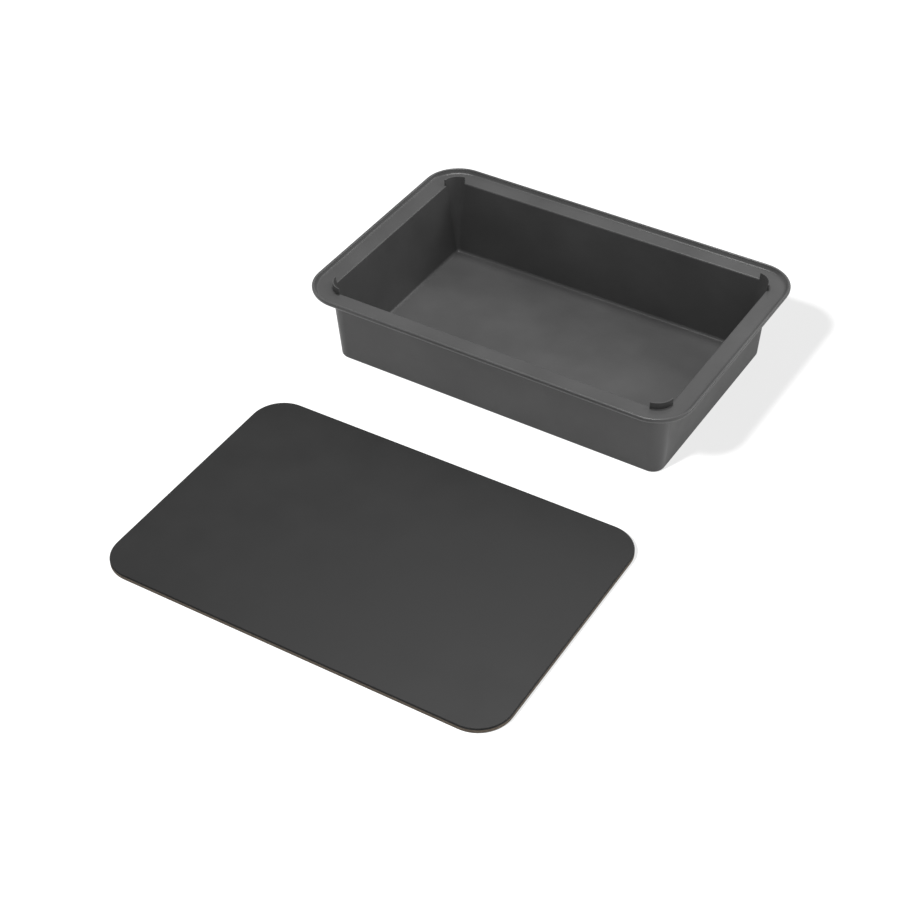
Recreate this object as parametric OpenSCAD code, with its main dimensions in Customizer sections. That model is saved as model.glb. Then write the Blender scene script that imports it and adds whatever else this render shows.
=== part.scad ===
// Shallow tray that keeps paint moist: a drafted basin with a wide ledge, an upturned lip and four
// corner tabs, and a thin laminated board that covers it. The board lies in front of the tray.
// The origin is the centre of the tray's underside, +Z up, -Y towards the board. Millimetres.

/* [Tray] */
// Length over the lip, along X
tray_l = 303; // [270:1:340]
// Width over the lip, along Y
tray_w = 202; // [170:1:240]
// Height from the underside to the top of the lip
tray_h = 62.5; // [45:0.5:80]
// Corner radius over the lip, in plan
rim_r = 28; // [26:0.5:34]
// From the outside of the lip to the mouth of the basin
shelf_w = 16.6; // [14:0.1:18]
// Thickness of the basin's walls at the mouth
wall_t = 2.2; // [1.8:0.1:3.2]
// Thickness of the basin's floor
floor_t = 1.6; // [1.2:0.1:5]
// Lean of the walls' outside in degrees, so that the tray leaves its mould
draft = 4.3; // [2:0.1:5]
// Lean of the walls' inside in degrees, which thickens the walls towards the floor
inner_draft = 8.5; // [5:0.1:9]
// Radius between the floor and the inside of the walls
floor_fillet = 2.5; // [0.5:0.5:8]
// Radius between the underside and the outside of the walls
base_round = 2; // [1:0.5:5]
// Radius on the mouth of the basin
mouth_round = 1.2; // [0.4:0.1:1.4]

/* [Ledge and lip] */
// Thickness of the ledge
ledge_t = 1.8; // [1.6:0.1:3]
// Height of the lip above the ledge
lip_h = 3; // [2.4:0.1:4]
// Thickness of the lip at its top
lip_t = 2.2; // [2:0.1:3]
// Lean of the lip's inside in degrees, which makes the lip thicker at its foot
lip_lean = 30; // [1:1:35]
// Radius on the lip's top edges
lip_round = 1; // [0.3:0.1:1]
// Radius between the ledge and the inside of the lip
lip_fillet = 1.8; // [0.6:0.1:2.4]
// Radius underneath, where the ledge turns up into the lip
rim_round = 4; // [2:0.5:5]

/* [Corner tabs] */
// Height of a tab above the ledge
tab_h = 5; // [3.5:0.1:6]
// Thickness of a tab at its foot
tab_t = 1.6; // [1.4:0.1:3]
// How far a tab runs round its corner, in degrees
tab_angle = 78; // [50:1:88]
// Bevel on a tab's top edges
tab_bevel = 0.2; // [0.1:0.1:0.4]

/* [Board] */
// How far the board's ends stand in from the outside of the lip
end_inset = 1.5; // [0:0.1:6]
// How far the board's long sides stand in from the outside of the lip
side_inset = 0.2; // [0:0.1:6]
// Thickness, with both faces
board_t = 4; // [3:0.1:6]
// Corner radius in plan
board_r = 24; // [10:0.5:30]
// Thickness of each dark face layer
face_t = 0.9; // [0.5:0.1:0.9]
// Bevel on the outer edge of each face layer
edge_bevel = 0.7; // [0.1:0.1:0.8]
// Depth of the pockets that drop over the tray's tabs
pocket_d = 2; // [1.2:0.1:2.1]
// Room around a tab in its pocket
pocket_clearance = 0.5; // [0.3:0.1:0.8]

/* [Layout] */
// Space between the tray's lip and the board in front of it
board_gap = 45.5; // [20:0.5:120]
// How far the board lies to the right of the tray
board_shift = 8.5; // [-40:0.5:40]
// Turn of the board on the table, in degrees
board_turn = 0.8; // [-5:0.1:5]

/* [Hidden] */
$fn = 96;

// Plan of the tray: a core rectangle whose corners are the centres of every corner arc.
// Cross-sections are drawn with x as the distance outwards from the core, and y as the height.
core_l = tray_l - 2 * rim_r;
core_w = tray_w - 2 * rim_r;
mouth_r = rim_r - shelf_w;
ledge_z = tray_h - lip_h;
ledge_low = ledge_z - ledge_t;
out_tan = tan(draft);
out_cos = cos(draft);
out_sin = sin(draft);
in_tan = tan(inner_draft);
in_cos = cos(inner_draft);
in_sin = sin(inner_draft);

// Distance from the core to the inside and to the outside of the wall, at height z
function wall_in(z) = mouth_r - (ledge_z - z) * in_tan;
function wall_out(z) = mouth_r + wall_t / out_cos - (ledge_z - z) * out_tan;

// Centre of the floor's fillet, which is no larger than the corner's own radius at the floor
fillet = min(floor_fillet, wall_in(floor_t) / (1 / in_cos - in_tan));
fillet_z = floor_t + fillet;
fillet_x = wall_in(fillet_z) - fillet / in_cos;
// Centre of the round under the walls
base_x = wall_out(base_round) - base_round / out_cos;
// Centre of the round on the mouth
mouth_z = ledge_z - mouth_round;
mouth_x = wall_in(mouth_z) + mouth_round / in_cos;
// Centre of the bend under the lip, which leaves some straight side below the round on top of the lip
least_side = 0.2;
bend = min(rim_round, ledge_t + lip_h - lip_round - least_side);
bend_x = rim_r - bend;
bend_z = ledge_low + bend;

// The fillet inside the lip ends below the round on top of the lip. The straight side between the
// two leans, and touches the round at a point that lies lip_round to the inside of its centre.
inner_fillet = min(lip_fillet, lip_h - lip_round - least_side);
lip_cos = cos(lip_lean);
lip_sin = sin(lip_lean);
lip_round_x = rim_r - lip_t + lip_round;
lip_round_z = tray_h - lip_round;
side_x = lip_round_x - lip_round * lip_cos;
side_z = lip_round_z + lip_round * lip_sin;
inner_z = ledge_z + inner_fillet;
inner_x = side_x - ((side_z - inner_z) * lip_sin + inner_fillet) / lip_cos;

tab_out = mouth_r + tab_t;
tab_top = ledge_z + tab_h;
tab_foot = ledge_z - ledge_t;
// Turn that clears the end of a tab in its pocket
pocket_turn = asin(pocket_clearance / mouth_r);

// The board covers the tray out to the lip
board_l = tray_l - 2 * end_inset;
board_w = tray_w - 2 * side_inset;
board_y = -(tray_w / 2 + board_gap + board_w / 2);
// A bevel leaves some of the face layer's edge upright
bevel = min(edge_bevel, face_t - 0.1);

// How far a cutting shape runs past the surface that it opens
past = 1;

// Turns and moves a corner piece, drawn for the +X +Y corner, to all four corners of a core
module each_corner(length, width) {
    for (quarter = [0 : 3])
        rotate([0, 0, 90 * quarter])
            translate(quarter % 2 == 0 ? [length / 2, width / 2, 0] : [width / 2, length / 2, 0])
                children();
}

// Sweeps a cross-section part of the way round the middle of a corner
module corner_arc(turn) {
    rotate([0, 0, 45 - turn / 2]) rotate_extrude(angle = turn) children();
}

// Sweeps a cross-section all the way round a core
module around(length, width) {
    each_corner(length, width) rotate_extrude(angle = 90) children();
    for (side = [0, 180]) rotate([0, 0, side]) {
        translate([length / 2, width / 2, 0]) rotate([90, 0, 0]) linear_extrude(width) children();
        translate([-length / 2, width / 2, 0]) rotate([90, 0, 90]) linear_extrude(length) children();
    }
}

// Cross-section of the basin's outside, filled in to the core
module basin_outside() {
    polygon([
        [0, 0],
        [base_x, 0],
        [base_x + base_round * out_cos, base_round * (1 - out_sin)],
        [wall_out(ledge_z), ledge_z],
        [0, ledge_z]
    ]);
    translate([base_x, base_round]) intersection() {
        circle(base_round);
        translate([0, -base_round]) square(base_round);
    }
}

// Cross-section of the space inside the basin, up past the mouth
module basin_inside() {
    polygon([
        [-past, floor_t],
        [fillet_x, floor_t],
        [fillet_x + fillet * in_cos, fillet_z - fillet * in_sin],
        [mouth_x - mouth_round * in_cos, mouth_z + mouth_round * in_sin],
        [mouth_x, ledge_z],
        [mouth_x, tray_h + past],
        [-past, tray_h + past]
    ]);
    translate([fillet_x, fillet_z]) circle(fillet);
}

// Cross-section of the ledge and of the lip that it turns up into
module ledge_and_lip() {
    difference() {
        union() {
            translate([0, ledge_low]) square([bend_x, lip_round_z - ledge_low]);
            translate([bend_x, bend_z]) intersection() {
                circle(bend);
                translate([0, -bend]) square(bend);
            }
            translate([bend_x, bend_z]) square([bend, lip_round_z - bend_z]);
        }
        // the recess inside the lip, with the fillet that joins lip and ledge
        polygon([
            [-past, ledge_z],
            [inner_x, ledge_z],
            [inner_x + inner_fillet * lip_cos, inner_z - inner_fillet * lip_sin],
            [side_x, side_z],
            [-past, side_z]
        ]);
        translate([inner_x, inner_z]) circle(inner_fillet);
    }
    for (edge_x = [lip_round_x, rim_r - lip_round])
        translate([edge_x, lip_round_z]) circle(lip_round);
    translate([lip_round_x, lip_round_z]) square([lip_t - 2 * lip_round, lip_round]);
}

// Cross-section of a tab: its inside carries on the basin's wall, and its foot is sunk in the ledge
module tab_section() {
    polygon([
        [wall_in(tab_foot), tab_foot],
        [tab_out, tab_foot],
        [tab_out, tab_top - tab_bevel],
        [tab_out - tab_bevel, tab_top],
        [wall_in(tab_top) + tab_bevel, tab_top],
        [wall_in(tab_top - tab_bevel), tab_top - tab_bevel]
    ]);
}

// One layer of the board between two heights, with a bevel on its lower and on its upper edge,
// opened from below by the pockets for the tabs
module board_layer(z_low, z_high, bevel_low, bevel_high) {
    length = board_l - 2 * board_r;
    width = board_w - 2 * board_r;
    translate([board_shift, board_y, 0]) rotate([0, 0, board_turn]) difference() {
        union() {
            translate([-length / 2, -width / 2, z_low]) cube([length, width, z_high - z_low]);
            around(length, width) polygon([
                [0, z_low],
                [board_r - bevel_low, z_low],
                [board_r, z_low + bevel_low],
                [board_r, z_high - bevel_high],
                [board_r - bevel_high, z_high],
                [0, z_high]
            ]);
        }
        each_corner(core_l, core_w) corner_arc(tab_angle + 2 * pocket_turn)
            translate([mouth_r - pocket_clearance, -past])
                square([tab_t + 2 * pocket_clearance, pocket_d + past]);
    }
}

// One moulding: basin, ledge, lip and tabs
module tray() {
    color("#4b4b4d") {
        around(core_l, core_w) {
            difference() {
                union() {
                    basin_outside();
                    ledge_and_lip();
                }
                basin_inside();
            }
            translate([mouth_x, mouth_z]) intersection() {
                circle(mouth_round);
                translate([-mouth_round, 0]) square(mouth_round);
            }
        }
        translate([-core_l / 2, -core_w / 2, 0]) cube([core_l, core_w, floor_t]);
        each_corner(core_l, core_w) corner_arc(tab_angle) tab_section();
    }
}

// Warm brown wood-fibre middle of the board
module board_core() {
    color("#63594f") board_layer(face_t, board_t - face_t, 0, 0);
}

// Dark face on top
module board_top_face() {
    color("#414143") board_layer(board_t - face_t, board_t, 0, bevel);
}

// Dark face underneath
module board_bottom_face() {
    color("#3b3b3d") board_layer(0, face_t, bevel, 0);
}

tray();
board_core();
board_top_face();
board_bottom_face();
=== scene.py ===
import math

import bpy
from mathutils import Matrix, Vector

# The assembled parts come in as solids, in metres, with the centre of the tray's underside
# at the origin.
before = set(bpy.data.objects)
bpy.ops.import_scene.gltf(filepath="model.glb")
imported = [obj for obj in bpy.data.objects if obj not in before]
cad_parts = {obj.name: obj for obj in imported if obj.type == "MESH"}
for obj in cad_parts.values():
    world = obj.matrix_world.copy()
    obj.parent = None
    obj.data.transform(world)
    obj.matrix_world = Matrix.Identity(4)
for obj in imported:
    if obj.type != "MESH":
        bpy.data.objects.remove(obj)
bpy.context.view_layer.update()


# ---------------------------------------------------------------- shared helpers
# Small lengths are written in millimetres, and the pieces' colours as sRGB hex.  Every material
# and the world are built with these functions.
MM = 0.001
WHITE = (1, 1, 1, 1)


def linear(hex_colour):
    """An sRGB hex colour as the linear colour that a shader takes."""
    parts = [int(hex_colour[i:i + 2], 16) / 255 for i in (1, 3, 5)]
    return [p / 12.92 if p <= 0.04045 else ((p + 0.055) / 1.055) ** 2.4 for p in parts] + [1.0]


def add(tree, kind, inputs=None, **settings):
    """Adds a node; an input is given a value, or the output socket that feeds it."""
    node = tree.nodes.new(kind)
    for name, value in settings.items():
        setattr(node, name, value)
    for name, value in (inputs or {}).items():
        if isinstance(value, bpy.types.NodeSocket):
            tree.links.new(value, node.inputs[name])
        else:
            node.inputs[name].default_value = value
    return node


def ramp(tree, factor, *stops):
    """The colour that a ramp gives for factor; each stop is a position and a hex colour."""
    node = add(tree, "ShaderNodeValToRGB", {"Fac": factor})
    first, *between, last = stops
    for element, (position, hex_colour) in zip(node.color_ramp.elements, (first, last)):
        element.position = position
        element.color = linear(hex_colour)
    for position, hex_colour in between:
        node.color_ramp.elements.new(position).color = linear(hex_colour)
    return node.outputs["Color"]


def remap(tree, value, before, after, **settings):
    """Maps value from the range before to the range after, and holds it at the ends."""
    inputs = {"Value": value, "From Min": before[0], "From Max": before[1],
              "To Min": after[0], "To Max": after[1]}
    return add(tree, "ShaderNodeMapRange", inputs, **settings).outputs["Result"]


def empty_material(name):
    """A node material without nodes, and its tree."""
    material = bpy.data.materials.new(name)
    material.use_nodes = True
    material.node_tree.nodes.clear()
    return material, material.node_tree


def new_material(name):
    """A node material, its tree, and the surface shader joined to the output."""
    material, tree = empty_material(name)
    shader = add(tree, "ShaderNodeBsdfPrincipled")
    add(tree, "ShaderNodeOutputMaterial", {"Surface": shader.outputs["BSDF"]})
    return material, tree, shader


def dress(piece, material):
    """Gives a piece one material, in place of the plain one that it comes with."""
    piece.data.materials.clear()
    piece.data.materials.append(material)


# ---------------------------------------------------------------- the tray
# One injection moulding in charcoal polypropylene: basin, ledge, upturned lip and corner tabs.
# The mould is spark-eroded, so the skin is an even satin with a fine grain.  It is made in one
# shot from a gate in the middle of the underside, and nothing is fixed to it.
TRAY_CHARCOAL = "#5b5b5b"
TRAY_CHARCOAL_PALE = "#606060"
TRAY_CHARCOAL_DEEP = "#565656"
TRAY_RUBBED = "#686868"
CLOUD = 45 * MM              # faint clouds of colour, where the melt cooled unevenly
FLOW = 14 * MM               # satin streaks along the flow of the melt
FLOW_SQUEEZE = 0.35          # the streaks are about three times as long along X
TRAY_ROUGHNESS = (0.28, 0.36)
RUBBED_ROUGHNESS = -0.08     # what rubbing adds to the roughness
GRAIN = 1.4 * MM             # the mould's spark grain is 0.2 mm; it is drawn coarser so that it shows
GRAIN_DEPTH = 0.06 * MM
GATE_RING = 4 * MM           # where the sprue is trimmed off; it marks both sides of the thin floor
GATE_RING_WIDTH = 0.5 * MM   # to each side of the ring
GATE_RING_DEPTH = 0.2 * MM
LIP_REACH = 3 * MM           # nothing but the lip lies this near to the tray's outer edge
LIP_RUB_DEPTH = 0.7 * MM
TAB_RUB_DEPTH = 0.4 * MM
TAB_CLEAR = 0.2 * MM         # what stands this far over the lip is a tab

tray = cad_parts["tray"]
corners = [vertex.co for vertex in tray.data.vertices]
tray_end = max(corner.x for corner in corners)
tab_top = max(corner.z for corner in corners)
lip_top = max(corner.z for corner in corners if corner.x > tray_end - LIP_REACH)

moulded_polypropylene, tree, shader = new_material("moulded_polypropylene")
shader.inputs["IOR"].default_value = 1.49
place = add(tree, "ShaderNodeTexCoord").outputs["Object"]
height = add(tree, "ShaderNodeSeparateXYZ", {"Vector": place}).outputs["Z"]
cloud = add(tree, "ShaderNodeTexNoise", {"Vector": place, "Scale": 1 / CLOUD, "Detail": 3.0})
charcoal = ramp(tree, cloud.outputs["Fac"],
                (0.3, TRAY_CHARCOAL_DEEP), (0.5, TRAY_CHARCOAL), (0.7, TRAY_CHARCOAL_PALE))

# The board and hands rub the top of the lip and of the tabs, which turn a little paler and shinier.
lip_rub = remap(tree, height, (lip_top - LIP_RUB_DEPTH, lip_top), (0.0, 1.0),
                interpolation_type="SMOOTHSTEP")
tab_rub = remap(tree, height, (tab_top - TAB_RUB_DEPTH, tab_top), (0.0, 1.0),
                interpolation_type="SMOOTHSTEP")
on_tab = add(tree, "ShaderNodeMath", {0: height, 1: lip_top + TAB_CLEAR}, operation="GREATER_THAN")
rub_place = add(tree, "ShaderNodeMix", {0: on_tab.outputs[0], 2: lip_rub, 3: tab_rub})
rub = add(tree, "ShaderNodeMath", {0: rub_place.outputs[0], 1: cloud.outputs["Fac"]},
          operation="MULTIPLY")
skin = add(tree, "ShaderNodeMix", {0: rub.outputs[0], 6: charcoal, 7: linear(TRAY_RUBBED)},
           data_type="RGBA")
tree.links.new(skin.outputs[2], shader.inputs["Base Color"])

streaks = add(tree, "ShaderNodeMapping", {"Vector": place, "Scale": (FLOW_SQUEEZE, 1.0, 1.0)})
flow = add(tree, "ShaderNodeTexNoise", {"Vector": streaks.outputs[0], "Scale": 1 / FLOW,
                                        "Detail": 4.0})
satin = remap(tree, flow.outputs["Fac"], (0.25, 0.75), TRAY_ROUGHNESS)
rubbed_satin = add(tree, "ShaderNodeMath", {0: rub.outputs[0], 1: RUBBED_ROUGHNESS, 2: satin},
                   operation="MULTIPLY_ADD")
tree.links.new(rubbed_satin.outputs[0], shader.inputs["Roughness"])

grain = add(tree, "ShaderNodeTexNoise", {"Vector": place, "Scale": 1 / GRAIN, "Detail": 2.0,
                                         "Roughness": 0.6})
spark = add(tree, "ShaderNodeBump", {"Strength": 0.10, "Distance": GRAIN_DEPTH,
                                     "Height": grain.outputs["Fac"]})
from_gate = add(tree, "ShaderNodeVectorMath", {0: place}, operation="LENGTH")
on_ring = add(tree, "ShaderNodeMath", {0: from_gate.outputs["Value"], 1: GATE_RING,
                                       2: GATE_RING_WIDTH}, operation="COMPARE")
gate = add(tree, "ShaderNodeBump", {"Strength": 0.6, "Distance": GATE_RING_DEPTH,
                                    "Height": on_ring.outputs[0], "Normal": spark.outputs[0]})
tree.links.new(gate.outputs[0], shader.inputs["Normal"])

dress(tray, moulded_polypropylene)


# ---------------------------------------------------------------- the board's faces
# A sheet of black paper laminate, soaked in resin and pressed hot onto both sides of the core
# against a fine-textured steel plate.  The press leaves an even, close matt with shallow
# dimples, and the cut edge is bevelled by a router.
LAMINATE_BLACK = "#1a1a1a"
LAMINATE_BLACK_WORN = "#202020"
LAMINATE_ROUGHNESS = (0.47, 0.53)
PRESS_MOTTLE = 30 * MM
PRESS_DIMPLE = 1.6 * MM   # the plate's dimples are 0.3 mm; they are drawn coarser so that they show
DIMPLE_DEPTH = 0.05 * MM

pressed_laminate, tree, shader = new_material("pressed_laminate")
shader.inputs["IOR"].default_value = 1.5
place = add(tree, "ShaderNodeTexCoord").outputs["Object"]
mottle = add(tree, "ShaderNodeTexNoise", {"Vector": place, "Scale": 1 / PRESS_MOTTLE, "Detail": 5.0})
black = ramp(tree, mottle.outputs["Fac"], (0.35, LAMINATE_BLACK), (0.75, LAMINATE_BLACK_WORN))
tree.links.new(black, shader.inputs["Base Color"])
matt = remap(tree, mottle.outputs["Fac"], (0.3, 0.7), LAMINATE_ROUGHNESS)
tree.links.new(matt, shader.inputs["Roughness"])
dimple = add(tree, "ShaderNodeTexVoronoi", {"Vector": place, "Scale": 1 / PRESS_DIMPLE},
             feature="SMOOTH_F1")
pressed = add(tree, "ShaderNodeBump", {"Strength": 0.08, "Distance": DIMPLE_DEPTH,
                                       "Height": dimple.outputs["Distance"]})
tree.links.new(pressed.outputs[0], shader.inputs["Normal"])

for name in ("board_top_face", "board_bottom_face"):
    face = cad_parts[name]
    dress(face, pressed_laminate)


# ---------------------------------------------------------------- the board's core
# Hardboard: brown wood fibre, felted wet and pressed, so the fibres lie flat in the sheet.
# It shows as a warm line round the edge, where the router cut it, and in the four pockets
# milled from below for the tray's tabs.
FIBRE_BROWN = "#6e6356"
FIBRE_PALE = "#8a7c6e"
FIBRE_DARK = "#54483c"
FIBRE_ROUGHNESS = (0.7, 0.92)
FIBRE_LENGTH = 4 * MM
FIBRE_THICKNESS = 0.5 * MM
NAP_DEPTH = 0.1 * MM

wood_fibre, tree, shader = new_material("wood_fibre")
shader.inputs["IOR"].default_value = 1.45
place = add(tree, "ShaderNodeTexCoord").outputs["Object"]
fibre_scale = (1 / FIBRE_LENGTH, 1 / FIBRE_LENGTH, 1 / FIBRE_THICKNESS)
felted = add(tree, "ShaderNodeMapping", {"Vector": place, "Scale": fibre_scale})
fibres = add(tree, "ShaderNodeTexNoise", {"Vector": felted.outputs[0], "Scale": 1.0,
                                          "Detail": 6.0, "Roughness": 0.65})
brown = ramp(tree, fibres.outputs["Fac"], (0.3, FIBRE_DARK), (0.5, FIBRE_BROWN), (0.72, FIBRE_PALE))
tree.links.new(brown, shader.inputs["Base Color"])
dry = remap(tree, fibres.outputs["Fac"], (0.3, 0.7), FIBRE_ROUGHNESS)
tree.links.new(dry, shader.inputs["Roughness"])
nap = add(tree, "ShaderNodeBump", {"Strength": 0.5, "Distance": NAP_DEPTH,
                                   "Height": fibres.outputs["Fac"]})
tree.links.new(nap.outputs[0], shader.inputs["Normal"])

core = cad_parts["board_core"]
dress(core, wood_fibre)


# ---------------------------------------------------------------- the table and its backdrop
# A white table that light bounces off, and over it a sheet of white paper, which is what the
# camera sees.  The sheet glows, so it comes out white, and where the key lamp is hidden by the
# object it stays the pale grey of paper in soft shadow.  In the object's sheen it glows less.
GROUND_SIZE = 8
SHEET_DROP = 0.2 * MM   # both lie a little below the object, so that no two faces meet
TABLE_DROP = 0.6 * MM
TABLE_WHITE = (0.8, 0.8, 0.8, 1)
PAPER_WHITE = (0.1, 0.1, 0.1, 1)   # what the paper gives back of the key lamp, besides its glow
GLOW = 0.80
GLOW_IN_SHEEN = 0.32
AMBIENT = 0.23          # strength of the white world for all but the camera, which sees it as white


def ground(name, drop, material):
    """A wide level square under the object."""
    bpy.ops.mesh.primitive_plane_add(size=GROUND_SIZE, location=(0, 0, -drop))
    square = bpy.context.object
    square.name = name
    square.data.materials.append(material)
    return square


white_table, tree, shader = new_material("white_table")
shader.inputs["Base Color"].default_value = TABLE_WHITE
shader.inputs["Roughness"].default_value = 0.9
table = ground("white_table", TABLE_DROP, white_table)
table.visible_camera = False
table.visible_glossy = False

white_paper, tree = empty_material("white_paper")
paper = add(tree, "ShaderNodeBsdfDiffuse", {"Color": PAPER_WHITE})
path = add(tree, "ShaderNodeLightPath")
strength = remap(tree, path.outputs["Is Glossy Ray"], (0.0, 1.0), (GLOW, GLOW_IN_SHEEN))
glow = add(tree, "ShaderNodeEmission", {"Color": WHITE, "Strength": strength})
both = add(tree, "ShaderNodeAddShader", {0: paper.outputs[0], 1: glow.outputs[0]})
add(tree, "ShaderNodeOutputMaterial", {"Surface": both.outputs[0]})
sheet = ground("white_sheet", SHEET_DROP, white_paper)
sheet.visible_diffuse = False
sheet.visible_transmission = False
sheet.visible_shadow = False

world = bpy.data.worlds.new("studio")
world.use_nodes = True
bpy.context.scene.world = world
tree = world.node_tree
tree.nodes.clear()
path = add(tree, "ShaderNodeLightPath")
ambient = add(tree, "ShaderNodeBackground", {"Color": WHITE, "Strength": AMBIENT})
white = add(tree, "ShaderNodeBackground", {"Color": WHITE, "Strength": 1.0})
mix = add(tree, "ShaderNodeMixShader", {0: path.outputs["Is Camera Ray"],
                                        1: ambient.outputs[0], 2: white.outputs[0]})
add(tree, "ShaderNodeOutputWorld", {"Surface": mix.outputs[0]})


# ---------------------------------------------------------------- the lamps
# Softboxes round the table, all aimed at the table below the tray's near edge.  Each is given by
# its bearing from +X towards +Y and its height over the table, both in degrees, its distance and
# its size in metres, and its strength, where 1 lights a facing surface as a sun of strength 1 does.
AIM = Vector((0, -0.1, 0))


def softbox(name, bearing, elevation, distance, size, strength):
    """A rectangular lamp at a bearing and height round the aim, facing it."""
    b, e = math.radians(bearing), math.radians(elevation)
    way = Vector((math.cos(e) * math.cos(b), math.cos(e) * math.sin(b), math.sin(e)))
    lamp = bpy.data.lights.new(name, "AREA")
    lamp.shape = "RECTANGLE"
    lamp.size, lamp.size_y = size
    lamp.energy = strength * math.pi * distance ** 2
    holder = bpy.data.objects.new(name, lamp)
    bpy.context.collection.objects.link(holder)
    holder.location = AIM + way * distance
    holder.rotation_mode = "QUATERNION"
    holder.rotation_quaternion = (-way).to_track_quat("-Z", "Y")
    return holder


boxes = [
    softbox("overhead_strip", 117, 70, 2.1, (0.5, 0.3), 1.02),
    softbox("overhead_square", 0, 90, 2.1, (0.8, 0.8), 0.86),
    softbox("rear_right", 45, 35, 2.0, (0.8, 0.6), 0.48),
    softbox("rear", 90, 38, 2.0, (1.2, 0.5), 0.09),
    softbox("front_low", 270, 14, 2.0, (1.4, 0.6), 0.20),
    softbox("left_low", 180, 14, 2.0, (1.4, 0.6), 0.15),
    softbox("right_low", 0, 5, 2.0, (1.4, 0.3), 0.38),
    softbox("front", 270, 35, 2.0, (0.9, 0.6), 0.05),
]
# The key lamp stands in front on the left and throws the one shadow that the paper shows.
key = softbox("key", 252, 48, 10.0, (1.2, 1.2), 18.0)

# The paper is lit by the key lamp alone, and the object and the table by all the others.
no_paper = bpy.data.collections.new("all_but_the_paper")
no_paper.objects.link(sheet)
no_paper.collection_objects[0].light_linking.link_state = "EXCLUDE"
for box in boxes:
    box.light_linking.receiver_collection = no_paper
paper_alone = bpy.data.collections.new("the_paper")
paper_alone.objects.link(sheet)
key.light_linking.receiver_collection = paper_alone


# ---------------------------------------------------------------- the camera
# A long lens, looking down on the table from the front and the right, tilted a little sideways.
AZIMUTH = math.radians(32.9048)     # from -Y towards +X
ELEVATION = math.radians(40.5022)
ROLL = math.radians(-1.3303)
TARGET = Vector((-0.0037769, -0.1316125, 0))
DISTANCE = 1.345075
SENSOR = 36                         # mm
FOCAL_LENGTH = 77.4058              # mm
SIGHT = 20                          # how far the camera sees, in metres

back = Vector((math.sin(AZIMUTH) * math.cos(ELEVATION),
               -math.cos(AZIMUTH) * math.cos(ELEVATION),
               math.sin(ELEVATION)))
right = (-back).cross(Vector((0, 0, 1))).normalized()
up = right.cross(-back)
rolled_right = right * math.cos(ROLL) + up * math.sin(ROLL)
rolled_up = up * math.cos(ROLL) - right * math.sin(ROLL)
lens = bpy.data.cameras.new("camera")
lens.sensor_width = SENSOR
lens.lens = FOCAL_LENGTH
lens.clip_end = SIGHT
camera = bpy.data.objects.new("camera", lens)
bpy.context.collection.objects.link(camera)
turn = Matrix((rolled_right, rolled_up, back)).transposed().to_4x4()
camera.matrix_world = Matrix.Translation(TARGET + back * DISTANCE) @ turn
bpy.context.scene.camera = camera
bpy.context.scene.view_settings.view_transform = "Standard"
